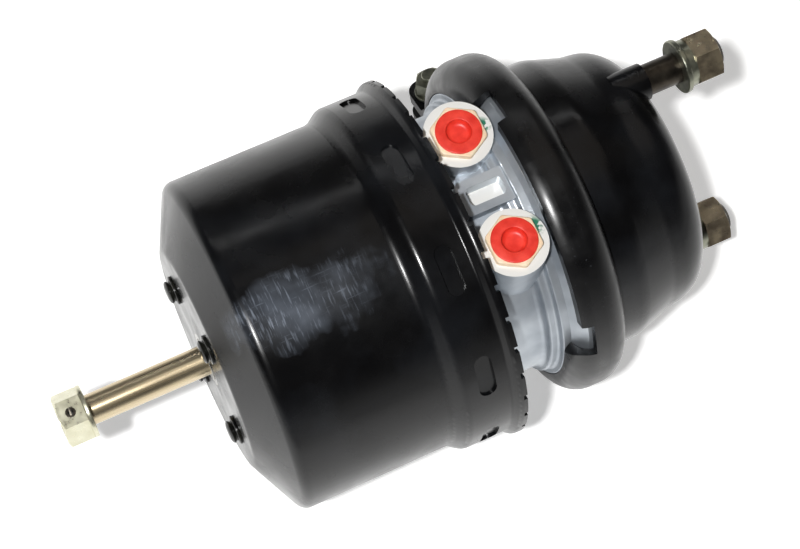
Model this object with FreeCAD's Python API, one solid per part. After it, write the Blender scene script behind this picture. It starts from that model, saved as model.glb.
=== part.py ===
import FreeCAD, Part
import math
import os

# Spring brake chamber: a clamped service chamber in front and a crimped spring chamber behind.
# The axis is X, and the mounting face is the plane X = 0. The studs point to +X, the release bolt to -X
# and the two air ports to +Z. Lengths are in millimetres and angles in degrees, an angle about the axis
# being counted from +Z towards +Y.

V = FreeCAD.Vector
AXIS = V(1, 0, 0)
UP = V(0, 0, 1)
ORIGIN = V(0, 0, 0)

# Fits
touch = 0.3
fit = 0.1
running = 0.05
edge = 0.8

# Sheet steel
can_wall = 3.2
bowl_wall = 3.2

# Spring housing
can_step = 11.5
can_cone_height = 30.0
can_cone_length = 14.5
can_bend = 6.0
rim_height = 5.0
rim_length = 30.0
rim_bend = 2.0
shoulder_length = 7.0
lip_height = 3.3
lip_length = 7.0
lip_flare = 3.5
lip_notches = 36
lip_notch_width = 3.4
lip_notch_depth = 2.0
lock_slots = 10
lock_slot_setback = 18.0
lock_slot_turn = -20.3
lock_slot_length = 25.0
lock_slot_width = 9.0
lock_slot_depth = 2.2
lock_slot_swell = 2.0
lock_slot_blend = 0.6

# Vents and release thread
vent_inset = 11.0
vent_turn = -10.0
vent_count = 4
vent_hole_radius = 4.0
vent_head_radius = 7.5
vent_head_height = 5.0
vent_head_rounding = 3.0
vent_barb = 0.9
vent_barb_length = 2.4
boss_radius = 14.0
boss_length = 15.0
boss_proud = 0.6
boss_step = 3.0

# Flange body
joint_face = -75.0
waist_length = 45.0
flange_setback = 2.0
web_thickness = 40.0
rim_seat_setback = 3.0
spigot_overlap = 8.0
spigot_wall = 6.2
seal_ring_setback = 3.5
seal_ring_width = 4.0
seal_ring_depth = 3.2
cast_rounding = 3.0
core_hub_wall = 9.0
core_pocket_wall = 12.5
core_pocket_depth = 16.0
core_pocket_draft = 1.0
bush_wall = 3.0
joint_height = 6.6
dish_depth = 16.0
dish_rim = 1.8
dish_slope = 13.0
shoulder_height = 0.7
shoulder_clearance = 0.1
joint_bevel = 5.0
waist_depth = 7.7
step_height = 4.1
step_start = 5.0
step_end = 0.7
step_slope = 1.5

# Air ports
port_setback = 12.0
port_spread = 60.0
port_rise = 6.4
port_boss_radius = 17.0
port_thread_radius = 10.4
port_depth = 22.0
port_root_depth = 29.5
passage_radius = 4.0
passage_rise = 3.0
service_passage_reach = 12.0
web_block_depth = 9.5
web_block_offset = 0.5
web_block_rounding = 2.5
web_block_length = 27.0
web_block_width = 18.0
web_block_drop = 4.5
web_pocket_length = 19.0
web_pocket_width = 9.5
web_pocket_depth = 9.0

# Port plugs
plug_flats = 24.5
plug_head_height = 3.4
plug_disc_radius = 10.6
plug_dimple_radius = 6.2
plug_dimple_depth = 1.8
plug_reach = 14.0
plug_rise = 0.5
plug_wall = 2.5

# Clamp ring
ring_width = 32.0
ring_rise = 6.7
ring_wall = 4.0
ring_rounding = 12.9
ring_offset = 0.5
ring_cut_start = -70.0
ring_cut_tuck = 8.25
ring_port_gap = 1.5
ring_notch_depth = 5.5
ring_notch_sweep = 13.0
ring_split_turn = 117.0
ring_split_gap = 8.0
ring_end_rounding = 7.0
ear_thickness = 6.0
ear_width = 24.0
ear_height = 13.0
ear_rounding = 9.0
ear_foot_spread = 5.0
ear_foot_height = 4.0
clamp_bolt_height = 14.5
clamp_bolt_radius = 5.0
clamp_bolt_head = 6.4
clamp_bolt_end = 13.0
clamp_nut_flats = 16.0
clamp_nut_height = 8.0
clamp_washer_radius = 10.0
clamp_washer_height = 2.0

# Service housing
stud_land = 6.575
bowl_rim_thickness = 6.2
bowl_rim_land = 1.0
bowl_bend = 16.0
bowl_side_length = 18.8
bowl_slope_length = 19.5
bowl_neck_depth = 6.3
bowl_taper = 3.3
bowl_corner = 20.0
opening_radius = 30.0

# Mounting studs
stud_circle = 120.65
stud_turn = 26.0
stud_radius = 8.0
stud_neck_rise = 0.3
stud_thread_drop = 0.2
stud_shank = 18.3
stud_length = 42.0
stud_head_radius = 12.5
stud_head_height = 5.5
stud_pad_radius = 9.6
stud_pad_depth = 18.0
nut_flats = 24.0
nut_height = 13.5
washer_radius = 14.0
washer_height = 3.0
lock_washer_radius = 12.2
lock_washer_height = 4.0
lock_washer_gap = 2.4
lock_washer_slant = 20.0
lock_washer_turn = 200.0
stud_nut_turn = 14.0
nut_chamfer = 1.6

# Diaphragm and pushrod
diaphragm_thickness = 3.0
diaphragm_inset = 3.5
diaphragm_bend = 8.0
diaphragm_edge = 1.0
diaphragm_bead = 5.4
diaphragm_slack = 1.3
rib_width = 3.2
rib_height = 1.5
rib_inset = 5.8
plate_inset = 2.0
plate_wall = 3.2
plate_lip = 5.0
plate_flare = 2.0
pushrod_radius = 8.0
pushrod_foot_radius = 14.0
pushrod_foot_height = 4.0
foot_rounding = 2.0
pushrod_ball_radius = 10.5
pushrod_tip = 2.0

# Return spring and gaiter
return_wire = 4.5
return_half_turns = 10
return_small_radius = 22.0
return_large_radius = 42.0
gaiter_wall = 1.5
gaiter_folds = 5
gaiter_fold_depth = 6.0
gaiter_setback = 1.0
gaiter_collar = 6.0
retainer_wall = 2.0
retainer_depth = 7.0
retainer_turn_in = 4.0

# Parking piston
parking_stroke = 62.0
piston_thickness = 6.0
piston_skirt_length = 25.0
piston_skirt_wall = 5.0
piston_clearance = 0.5
piston_hub_radius = 20.0
piston_hub_height = 6.0
piston_hub_flare = 2.0
rod_hole_gap = 0.65
seal_width = 4.2
seal_depth = 4.0
seal_setback = 2.5
band_width = 7.0
band_depth = 2.0
band_setback = 12.0
tube_wall = 3.5
tube_gap = 0.7
nose_length = 6.0
nose_spigot = 8.0
nose_rounding = 2.5

# Power spring
power_wire = 11.0
power_pitch = 10.5
power_half_turns = 7
power_small_inset = 9.0
power_large_inset = 12.8

# Release bolt
bolt_radius = 7.75
hex_flats = 24.0
hex_length = 13.0
hex_reach = 78.0
hex_chamfer = 2.2
hex_turn = -3.0
collar_radius = 13.7
collar_thickness = 2.5
bolt_head_radius = 10.8
bolt_head_length = 8.4
thrust_washer_thickness = 2.0
roll_pin_radius = 2.6
roll_pin_bore = 1.5
roll_pin_slit = 0.8
roll_pin_setback = 0.2

# Seals of the piston tube
bush_length = 21.0
bush_setback = 8.5
tube_seal_length = 6.0
tube_seal_setback = 1.0
tube_seal_lip = 1.5

# Places worked out from the sizes above
bowl_front_radius = stud_circle / 2 + stud_land
bowl_neck_radius = bowl_front_radius + bowl_taper
bowl_radius = bowl_neck_radius + bowl_neck_depth
can_radius = bowl_radius + can_step
can_floor_radius = can_radius - can_cone_height
can_inner = can_radius - can_wall
rim_radius = can_radius + rim_height
rim_inner = rim_radius - can_wall
lip_radius = rim_radius + lip_height
rim_front = joint_face - waist_length
rim_rear = rim_front - rim_length
web_front = joint_face - dish_depth
web_rear = web_front - web_thickness
shoulder_radius = bowl_radius + shoulder_height
joint_radius = shoulder_radius + joint_height
waist_radius = shoulder_radius - waist_depth
step_radius = waist_radius + step_height
core_pocket_outer = waist_radius - core_pocket_wall
tube_bore = bolt_head_radius + tube_gap
tube_radius = tube_bore + tube_wall
bore_radius = tube_radius + bush_wall
core_pocket_inner = bore_radius + core_hub_wall
rod_hole_radius = bolt_radius + rod_hole_gap
dish_mouth_radius = bowl_radius - bowl_wall - dish_rim
dish_floor_radius = dish_mouth_radius - dish_slope
rib_radius = joint_radius - rib_inset
port_x = web_front - port_setback
port_height = step_radius + port_rise
port_root = waist_radius - port_root_depth
web_block_height = port_height - web_block_drop
web_block_root = waist_radius - web_block_depth
piston_face = web_rear - parking_stroke
piston_rear = piston_face - piston_thickness
power_length = power_pitch * power_half_turns / 2 + power_wire
can_rear = piston_rear - power_length - can_wall
lip_start = rim_front - lip_length
lock_slot_x = rim_front - lock_slot_setback
spigot_rear = rim_rear - spigot_overlap
spigot_radius = can_inner - fit
cavity_radius = spigot_radius - spigot_wall
seal_ring_start = spigot_rear + seal_ring_setback
seal_ring_floor = spigot_radius - seal_ring_depth
ring_radius = joint_radius + ring_rise
ring_leg_radius = shoulder_radius + touch
ring_middle = joint_face + ring_offset
ring_rear = ring_middle - ring_width / 2
ring_front = ring_middle + ring_width / 2
ring_cut_setback = port_x + port_boss_radius + ring_port_gap - ring_rear
ring_notch_setback = ring_cut_setback + ring_notch_depth
ring_cut_reach = port_spread / 2 + port_boss_radius - ring_cut_tuck
ring_cut_end = math.degrees(math.asin(ring_cut_reach / ring_leg_radius))
clamp_bolt_circle = ring_radius + clamp_bolt_height
ear_reach = clamp_bolt_circle + ear_height
bowl_rear = ring_front - ring_wall - touch - bowl_rim_thickness
bowl_shoulder_x = bowl_rear + bowl_rim_thickness + bowl_side_length
bowl_neck_x = bowl_shoulder_x + bowl_slope_length
diaphragm_flat_radius = dish_floor_radius - diaphragm_inset
plate_radius = diaphragm_flat_radius - plate_inset
diaphragm_rear = web_front + diaphragm_slack
diaphragm_front = diaphragm_rear + diaphragm_thickness
plate_rear = diaphragm_front + touch
plate_front = plate_rear + plate_wall
bowl_floor = -bowl_wall
gaiter_rear_radius = pushrod_radius + touch
stud_neck_radius = stud_radius + stud_neck_rise
stud_thread_radius = stud_radius - stud_thread_drop
stud_rear = bowl_floor - stud_head_height
gaiter_rear = plate_front + pushrod_foot_height + gaiter_setback
piston_radius = can_inner - piston_clearance
power_small_radius = can_floor_radius - power_small_inset
power_large_radius = can_inner - power_large_inset
vent_circle = power_small_radius - vent_inset
hex_end = can_rear - hex_reach
hex_front = hex_end + hex_length
collar_front = hex_front + collar_thickness
bolt_head_rear = piston_face + touch + thrust_washer_thickness + touch
nose_front = diaphragm_rear - touch
tube_front = nose_front - nose_length
boss_rear = can_rear - boss_proud
stud_places = [stud_turn, stud_turn + 180]
port_sides = [port_spread / 2, -port_spread / 2]


# Small tools for outlines

def outline(corners):
    """A closed wire through corners (x, r) in the XZ plane. A third value rounds a corner."""
    points = [V(corner[0], 0, corner[1]) for corner in corners]
    starts = []
    middles = []
    ends = []
    for index, corner in enumerate(corners):
        point = points[index]
        rounding = corner[2] if len(corner) > 2 else 0
        if rounding <= 0:
            starts.append(point)
            middles.append(None)
            ends.append(point)
            continue
        back = (points[index - 1] - point).normalize()
        ahead = (points[(index + 1) % len(points)] - point).normalize()
        half = back.getAngle(ahead) / 2
        bisector = (back + ahead).normalize()
        centre = point + bisector * (rounding / math.sin(half))
        starts.append(point + back * (rounding / math.tan(half)))
        middles.append(centre - bisector * rounding)
        ends.append(point + ahead * (rounding / math.tan(half)))
    edges = []
    for index in range(len(points)):
        following = (index + 1) % len(points)
        if middles[index] is not None:
            edges.append(Part.Arc(starts[index], middles[index], ends[index]).toShape())
        if ends[index].distanceToPoint(starts[following]) > 1e-6:
            edges.append(Part.makeLine(ends[index], starts[following]))
    return Part.Wire(edges)


def parallel(path, distance):
    """The path moved sideways to its right, with mitred corners and concentric roundings."""
    moved = []
    last = len(path) - 1
    for index, corner in enumerate(path):
        point = V(corner[0], 0, corner[1])
        before = path[max(index - 1, 0)]
        after = path[min(index + 1, last)]
        towards = V(corner[0] - before[0], 0, corner[1] - before[1])
        onwards = V(after[0] - corner[0], 0, after[1] - corner[1])
        if index == 0:
            towards = onwards
        if index == last:
            onwards = towards
        towards.normalize()
        onwards.normalize()
        side = V(towards.z, 0, -towards.x)
        next_side = V(onwards.z, 0, -onwards.x)
        shift = (side + next_side) * (distance / (1 + side.dot(next_side)))
        turn_right = towards.x * onwards.z - towards.z * onwards.x < 0
        rounding = corner[2] if len(corner) > 2 else 0
        if rounding > 0:
            rounding = rounding - distance if turn_right else rounding + distance
            rounding = max(rounding, 0.5)
        moved.append((point.x + shift.x, point.z + shift.z, rounding))
    return moved


def sheet(path, wall):
    """The closed section of a sheet of one thickness that follows the path on its right side."""
    return list(path) + parallel(path, wall)[::-1]


def turned(corners, sweep=360):
    """A solid turned about the axis from its section."""
    return Part.Face(outline(corners)).revolve(ORIGIN, AXIS, sweep)


def sector(corners, start, end):
    """The part of a turned solid between two angles."""
    piece = turned(corners, end - start)
    piece.rotate(ORIGIN, AXIS, -end)
    return piece


def placed(shape, point, direction):
    """A shape made along X, set with its origin at the point and its X along the direction."""
    piece = shape.copy()
    piece.Placement = FreeCAD.Placement(point, FreeCAD.Rotation(AXIS, direction)).multiply(piece.Placement)
    return piece


def around(shape, angle):
    """A copy of a shape at +Z, carried round the axis to the angle."""
    piece = shape.copy()
    piece.rotate(ORIGIN, AXIS, -angle)
    return piece


def at_angle(x, radius, angle):
    turn = math.radians(angle)
    return V(x, radius * math.sin(turn), radius * math.cos(turn))


def rod(radius, start, end):
    """A plain cylinder on the axis."""
    return Part.makeCylinder(radius, end - start, V(start, 0, 0), AXIS)


def ring(inner, outer, start, end, edge=0):
    """A turned ring, with its two outer corners rounded."""
    return turned([(start, inner), (start, outer, edge), (end, outer, edge), (end, inner)])


def box(x_range, y_range, z_range):
    size = [values[1] - values[0] for values in (x_range, y_range, z_range)]
    return Part.makeBox(size[0], size[1], size[2], V(x_range[0], y_range[0], z_range[0]))


def hexagon(flats, height, chamfer):
    """A hexagon head along X from 0, one flat facing +Z, its far corners turned off."""
    corner_radius = flats / math.sqrt(3)
    points = []
    for step in range(7):
        turn = math.radians(60 * step)
        points.append(V(0, corner_radius * math.cos(turn), corner_radius * math.sin(turn)))
    prism = Part.Face(Part.makePolygon(points)).extrude(V(height, 0, 0))
    drop = chamfer * 0.5
    dome = [(0, 0), (0, corner_radius + 1), (height - drop, corner_radius + 1),
            (height - drop, corner_radius), (height, corner_radius - chamfer), (height, 0)]
    return prism.common(turned(dome))


def stadium(length, width, low, high):
    """An oblong along Y with round ends, standing from low to high along Z, at X = 0."""
    half = (length - width) / 2
    body = box((-width / 2, width / 2), (-half, half), (low, high))
    for side in (-half, half):
        body = body.fuse(Part.makeCylinder(width / 2, high - low, V(0, side, low), UP))
    return body.removeSplitter()


def coil(wire, start, start_radius, end, end_radius, half_turns):
    """A conical spring of round wire between two planes, wound from half rings that climb from end to end."""
    climb = (end - start - wire) / half_turns
    growth = (end_radius - start_radius) / half_turns
    section = Part.Face(Part.Wire(Part.makeCircle(wire / 2, ORIGIN, V(0, 1, 0))))
    rings = []
    for step in range(half_turns):
        side = 1 - 2 * (step % 2)
        begin = V(start + wire / 2 + climb * step, 0, side * (start_radius + growth * step))
        finish = V(begin.x + climb, 0, -side * (start_radius + growth * (step + 1)))
        tilted_axis = (finish - begin).cross(V(0, side, 0))
        rings.append(section.translated(begin).revolve((begin + finish) / 2, tilted_axis, 180))
    return rings[0].fuse(rings[1:]).removeSplitter()


def group(pieces):
    return Part.makeCompound(pieces)


# Pressed and welded pieces of the spring chamber

def lock_slot_places():
    return [lock_slot_turn + 360 * step / lock_slots for step in range(lock_slots)]


def vent_places():
    return [vent_turn + 360 * step / vent_count for step in range(vent_count)]


def can_path():
    """The outside of the spring housing, from its centre hole to its crimped lip."""
    return [
        (can_rear, boss_radius),
        (can_rear, can_floor_radius, can_bend),
        (can_rear + can_cone_length, can_radius, can_bend),
        (rim_rear - shoulder_length, can_radius, can_bend),
        (rim_rear, rim_radius, can_bend),
        (lip_start, rim_radius, rim_bend),
        (lip_start + lip_flare, lip_radius, lip_flare),
        (rim_front, lip_radius),
    ]


def make_spring_housing():
    """A deep drawn can, its rim pressed into the flange body at ten oblong slots."""
    shell = turned(sheet(can_path(), can_wall))
    pressed_floor = rim_radius - lock_slot_depth
    pocket = stadium(lock_slot_length, lock_slot_width, pressed_floor, rim_radius + 1)
    swell = stadium(lock_slot_length + lock_slot_swell, lock_slot_width + lock_slot_swell,
                    rim_inner - lock_slot_depth, rim_inner + lock_slot_blend)
    for shape in (pocket, swell):
        shape.translate(V(lock_slot_x, 0, 0))
    shell = shell.fuse([around(swell, angle) for angle in lock_slot_places()])
    notch = box((rim_front - lip_notch_depth, rim_front + 1), (-lip_notch_width / 2, lip_notch_width / 2),
                (rim_inner, lip_radius + 1))
    cuts = [around(pocket, angle) for angle in lock_slot_places()]
    cuts += [around(notch, 360 * step / lip_notches) for step in range(lip_notches)]
    hole = Part.makeCylinder(vent_hole_radius, can_wall + 2, V(can_rear - 1, 0, vent_circle), AXIS)
    cuts += [around(hole, angle) for angle in vent_places()]
    return shell.cut(cuts)


def make_release_boss():
    """The threaded boss welded through the end of the can."""
    bore = bolt_radius + running
    face_radius = boss_radius - boss_step
    boss_front = can_rear + boss_length
    return turned([(boss_rear, bore), (boss_rear, face_radius, boss_proud / 2), (can_rear, face_radius),
                   (can_rear, boss_radius), (boss_front, boss_radius, edge), (boss_front, bore)])


def make_vent_plugs():
    """Rubber breather plugs buttoned into the end of the can."""
    stem = vent_hole_radius - fit
    inside = can_rear + can_wall + fit
    head_face = can_rear - vent_head_height
    barb_end = inside + vent_barb_length
    plug = turned([(head_face, 0), (head_face, vent_head_radius, vent_head_rounding),
                   (can_rear, vent_head_radius), (can_rear, stem), (inside, stem),
                   (inside, stem + vent_barb), (barb_end, stem - vent_barb / 2), (barb_end, 0)])
    plug.translate(V(0, 0, vent_circle))
    return group([around(plug, angle) for angle in vent_places()])


# The cast flange body

def web_block(x, length, width, low, high):
    """An upright block between the ports, its four standing edges rounded."""
    block = box((x - length / 2, x + length / 2), (-width / 2, width / 2), (low, high))
    upright = [line for line in block.Edges if line.tangentAt(0).cross(UP).Length < 0.01]
    return block.makeFillet(web_block_rounding, upright)


def make_flange_body():
    """The die cast body between the chambers, with the port bosses, passages and grooves."""
    rim_seat = rim_inner - fit
    rim_start = rim_rear + rim_seat_setback
    cast_front = rim_front - flange_setback
    groove_half = (lock_slot_width + lock_slot_swell) / 2 + touch
    groove_floor = rim_inner - lock_slot_depth - touch
    seal_ring_end = seal_ring_start + seal_ring_width
    rib_half = rib_width / 2 + touch
    pocket_floor = web_rear + core_pocket_depth
    step_rear = ring_rear - step_start
    step_front = ring_rear - step_end
    section = [
        (web_rear, bore_radius),
        (web_rear, core_pocket_inner),
        (pocket_floor, core_pocket_inner + core_pocket_draft, cast_rounding),
        (pocket_floor, core_pocket_outer - core_pocket_draft, cast_rounding),
        (web_rear, core_pocket_outer),
        (web_rear, cavity_radius, cast_rounding),
        (spigot_rear, cavity_radius),
        (spigot_rear, spigot_radius, edge),
        (seal_ring_start, spigot_radius),
        (seal_ring_start, seal_ring_floor),
        (seal_ring_end, seal_ring_floor),
        (seal_ring_end, spigot_radius),
        (rim_start, spigot_radius),
        (rim_start, rim_seat),
        (lock_slot_x - groove_half, rim_seat),
        (lock_slot_x - groove_half, groove_floor),
        (lock_slot_x + groove_half, groove_floor),
        (lock_slot_x + groove_half, rim_seat),
        (cast_front, rim_seat, edge),
        (cast_front, waist_radius, cast_rounding),
        (step_rear - step_slope, waist_radius, cast_rounding),
        (step_rear, step_radius, step_slope),
        (step_front, step_radius, step_slope),
        (ring_rear - shoulder_clearance, shoulder_radius, edge),
        (ring_rear + ring_wall + touch, shoulder_radius),
        (joint_face - joint_bevel, joint_radius, edge),
        (joint_face, joint_radius, edge),
        (joint_face, rib_radius + rib_half),
        (joint_face - rib_height, rib_radius + rib_half),
        (joint_face - rib_height, rib_radius - rib_half),
        (joint_face, rib_radius - rib_half),
        (joint_face, dish_mouth_radius, edge),
        (web_front, dish_floor_radius, cast_rounding),
        (web_front, bore_radius),
    ]
    dish = [(web_front, bore_radius), (web_front, dish_floor_radius, cast_rounding),
            (joint_face, dish_mouth_radius), (ring_front, dish_mouth_radius), (ring_front, bore_radius)]
    bosses = []
    boss_rise = port_height - port_root
    for side in port_sides:
        bosses.append(Part.makeCylinder(port_boss_radius, boss_rise, V(port_x, side, port_root), UP))
    web_x = port_x + web_block_offset
    bosses.append(web_block(web_x, web_block_length, web_block_width, web_block_root, web_block_height))
    body = turned(section).fuse(bosses)
    pocket_low = web_block_height - web_pocket_depth
    pocket = web_block(web_x, web_pocket_length, web_pocket_width, pocket_low, web_block_height + 1)
    cuts = [turned(dish), pocket]
    port_floor = port_height - port_depth
    passage_height = port_floor + passage_rise
    for side, far_end in ((port_sides[0], web_rear - 1), (port_sides[1], web_front + service_passage_reach)):
        cuts.append(Part.makeCylinder(port_thread_radius, port_depth + 1, V(port_x, side, port_floor), UP))
        start = V(port_x, side, passage_height)
        run = far_end - port_x
        cuts.append(Part.makeCylinder(passage_radius, abs(run), start, V(run, 0, 0)))
    return body.cut(cuts)


def make_housing_seal():
    """The ring that seals the can against the flange body."""
    end = seal_ring_start + seal_ring_width
    return ring(seal_ring_floor + fit, spigot_radius, seal_ring_start + fit, end - fit, edge)


def make_tube_bush():
    """The bearing bush that guides the piston tube."""
    start = web_rear + bush_setback
    return ring(tube_radius + running, bore_radius, start, start + bush_length)


def tube_seal(start):
    inner = tube_radius + touch
    end = start + tube_seal_length
    return turned([(start, inner + tube_seal_lip), (start + tube_seal_lip, inner),
                   (end - tube_seal_lip, inner), (end, inner + tube_seal_lip),
                   (end, bore_radius), (start, bore_radius)])


def make_tube_seals():
    """The two lip seals beside the bush."""
    rear_start = web_rear + tube_seal_setback
    front_start = web_front - tube_seal_setback - tube_seal_length
    return group([tube_seal(rear_start), tube_seal(front_start)])


# Transit plugs

def make_port_plug(side):
    """A moulded screw plug with a low hexagon and a round dimple."""
    top = plug_head_height + plug_rise
    dimple_floor = top - plug_dimple_depth
    head = hexagon(plug_flats, plug_head_height, nut_chamfer)
    disc = turned([(0, 0), (0, plug_disc_radius), (top, plug_disc_radius, plug_rise / 2), (top, 0)])
    dimple = turned([(dimple_floor, 0), (dimple_floor, plug_dimple_radius, edge),
                     (top + 1, plug_dimple_radius), (top + 1, 0)])
    body = rod(port_thread_radius - fit, -plug_reach, 0)
    bore = rod(port_thread_radius - plug_wall, -plug_reach - 1, -plug_wall)
    plug = head.fuse([disc, body]).cut([dimple, bore])
    return placed(plug, V(port_x, side, port_height), UP)


# Clamp ring and its bolt

def make_clamp_ring():
    """A split ring of arched section, cut back beside the ports, with two ears at its split."""
    path = [(ring_rear, ring_leg_radius), (ring_rear, ring_radius, ring_rounding),
            (ring_front, ring_radius, ring_rounding), (ring_front, ring_leg_radius)]
    body = turned(sheet(path, ring_wall))
    half_gap = ring_split_gap / 2
    reach = half_gap + ear_thickness
    foot_reach = reach + ear_foot_spread
    foot_top = ring_radius + ear_foot_height
    ear_x = (ring_middle - ear_width / 2, ring_middle + ear_width / 2)
    root = ring_radius - ring_wall
    ears = box(ear_x, (-reach, reach), (root, ear_reach))
    tops = [line for line in ears.Edges if line.BoundBox.ZMin > ear_reach - 0.1]
    across = [line for line in tops if line.BoundBox.YLength > 1]
    ears = ears.makeFillet(ear_rounding, across)
    feet = box(ear_x, (-foot_reach, foot_reach), (root, foot_top))
    tops = [line for line in feet.Edges if line.BoundBox.ZMin > foot_top - 0.1]
    along = [line for line in tops if line.BoundBox.XLength > 1]
    feet = feet.makeChamfer(ear_foot_spread - touch, along)
    hole_start = V(ring_middle, -reach - 1, clamp_bolt_circle)
    hole = Part.makeCylinder(clamp_bolt_radius + touch, 2 * reach + 2, hole_start, V(0, 1, 0))
    clear = ring_leg_radius - ring_wall
    gap = box((ring_rear - 1, ring_front + 1), (-half_gap, half_gap), (clear, ear_reach + 1))
    lug = ears.fuse(feet).cut([rod(root, ring_rear, ring_front), hole])
    body = body.fuse(around(lug, ring_split_turn)).cut(around(gap, ring_split_turn))

    def band(depth):
        return [(ring_rear - 1, clear), (ring_rear + depth, clear), (ring_rear + depth, ring_radius + 1),
                (ring_rear - 1, ring_radius + 1)]
    cuts = [
        sector(band(ring_cut_setback), ring_cut_start, ring_cut_end),
        sector(band(ring_notch_setback), ring_cut_start, ring_cut_start + ring_notch_sweep),
        sector(band(ring_notch_setback), ring_cut_end - ring_notch_sweep, ring_cut_end),
    ]
    rounding = ring_end_rounding
    low = ring_leg_radius * math.cos(math.radians(ring_notch_sweep))
    high = ring_radius + 1
    for angle, side in ((ring_cut_start, -1), (ring_cut_end, 1)):
        across = sorted((0, side * rounding))
        corner = box((ring_rear - 1, ring_rear + rounding), across, (low, high))
        keep = Part.makeCylinder(rounding, high - low, V(ring_rear + rounding, side * rounding, low), UP)
        cuts.append(around(corner.cut(keep), angle))
    return body.cut(cuts)


def clamp_line(shape):
    """A shape made along X, set on the clamp bolt's line, pointing back towards the ports."""
    return around(placed(shape, V(ring_middle, 0, clamp_bolt_circle), V(0, -1, 0)), ring_split_turn)


def clamp_face():
    return ring_split_gap / 2 + ear_thickness


def make_clamp_bolt():
    face = clamp_face()
    end = face + clamp_bolt_end
    shank = turned([(-face, 0), (-face, clamp_bolt_radius), (end, clamp_bolt_radius, edge), (end, 0)])
    head = placed(hexagon(clamp_nut_flats, clamp_bolt_head, nut_chamfer), V(-face, 0, 0), V(-1, 0, 0))
    return clamp_line(shank.fuse(head))


def make_clamp_nut():
    start = clamp_face() + clamp_washer_height
    bore = rod(clamp_bolt_radius, -1, clamp_nut_height + 1)
    nut = hexagon(clamp_nut_flats, clamp_nut_height, nut_chamfer).cut(bore)
    nut.translate(V(start, 0, 0))
    return clamp_line(nut)


def make_clamp_washer():
    face = clamp_face()
    far_face = face + clamp_washer_height
    return clamp_line(ring(clamp_bolt_radius + touch, clamp_washer_radius, face, far_face, edge / 2))


# Service housing and what is fixed to it

def bowl_path():
    """The outside of the service housing, from its clamped rim to its opening."""
    return [
        (bowl_rear + bowl_rim_thickness, bowl_radius),
        (bowl_shoulder_x, bowl_radius, bowl_bend),
        (bowl_neck_x, bowl_neck_radius, bowl_bend),
        (0, bowl_front_radius, bowl_corner),
        (0, opening_radius),
    ]


def bowl_hollow():
    """The room inside the service housing, behind its front wall."""
    inside = parallel(bowl_path(), bowl_wall)[:-1]
    return turned([(bowl_rear, 0), (bowl_rear, inside[0][1])] + inside[1:] + [(bowl_floor, 0)])


def stud_hole(angle):
    centre = at_angle(stud_rear, stud_circle / 2, angle)
    return Part.makeCylinder(stud_neck_radius, 1 - stud_rear, centre, AXIS)


def make_service_housing():
    """A pressed bowl with a thick clamped rim and a pad under each stud."""
    inner = bowl_radius - bowl_wall
    path = bowl_path()
    rim_front_x = bowl_rear + bowl_rim_thickness
    section = [
        (bowl_rear, inner, edge),
        (bowl_rear, joint_radius, edge / 2),
        (bowl_rear + bowl_rim_land, joint_radius),
        (rim_front_x, shoulder_radius + 1),
        (rim_front_x, bowl_radius),
    ]
    section += path[1:]
    section += parallel(path, bowl_wall)[:0:-1]
    body = turned(section)
    pads = []
    for angle in stud_places:
        centre = at_angle(-stud_pad_depth, stud_circle / 2, angle)
        pad = Part.makeCylinder(stud_pad_radius, stud_pad_depth, centre, AXIS)
        pads.append(pad.cut(bowl_hollow()))
    return body.fuse(pads).cut([stud_hole(angle) for angle in stud_places])


def make_mounting_studs():
    """Two studs, a thicker neck pressed in the front wall, their heads trimmed by the bowl's inner corner."""
    shank = turned([
        (stud_rear, 0),
        (stud_rear, stud_neck_radius),
        (0, stud_neck_radius),
        (0, stud_radius),
        (stud_shank, stud_radius),
        (stud_shank, stud_thread_radius),
        (stud_length, stud_thread_radius, nut_chamfer),
        (stud_length, 0),
    ])
    head = rod(stud_head_radius, stud_rear, bowl_floor)
    studs = []
    for angle in stud_places:
        place = at_angle(0, stud_circle / 2, angle)
        studs.append(head.translated(place).common(bowl_hollow()).fuse(shank.translated(place)))
    return group(studs)


def on_studs(shape):
    """A copy of a shape on each stud."""
    return group([shape.translated(at_angle(0, stud_circle / 2, angle)) for angle in stud_places])


def make_stud_washers():
    end = stud_shank + washer_height
    return on_studs(ring(stud_thread_radius + touch, washer_radius, stud_shank, end, edge))


def make_stud_lock_washers():
    """Split spring washers, their ends lifted apart at the gap."""
    start = stud_shank + washer_height
    end = start + lock_washer_height
    washer = ring(stud_thread_radius + touch, lock_washer_radius, start, end)
    half_gap = lock_washer_gap / 2
    slit = box((start - 1, end + 1), (-half_gap, half_gap), (0, lock_washer_radius + 1))
    slit.rotate(V((start + end) / 2, 0, 0), UP, lock_washer_slant)
    return on_studs(around(washer.cut(slit), lock_washer_turn))


def make_stud_nuts():
    start = stud_shank + washer_height + lock_washer_height
    nut = hexagon(nut_flats, nut_height, nut_chamfer).cut(rod(stud_thread_radius, -1, nut_height + 1))
    nut.translate(V(start, 0, 0))
    return on_studs(around(nut, stud_nut_turn))


# Diaphragm, pushrod, return spring and gaiter

def make_diaphragm():
    """The clamped rubber diaphragm, dished back over the pressure plate."""
    rear = joint_face + touch
    front = rear + diaphragm_bead
    rib_rear = rear - rib_height + touch
    rib_inner = rib_radius - rib_width / 2
    rib_outer = rib_radius + rib_width / 2
    seat = dish_mouth_radius - diaphragm_edge
    bend = (diaphragm_rear, diaphragm_flat_radius, diaphragm_bend)
    path = [(diaphragm_rear, 0), bend, (rear, seat, rim_bend)]
    skin = parallel(path, diaphragm_thickness)
    return turned(path + [
        (rear, rib_inner),
        (rib_rear, rib_inner),
        (rib_rear, rib_outer),
        (rear, rib_outer),
        (rear, joint_radius - touch, edge),
        (front, joint_radius - touch, edge),
        (front, dish_mouth_radius + diaphragm_edge, rim_bend),
        skin[1],
        skin[0],
    ])


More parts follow.
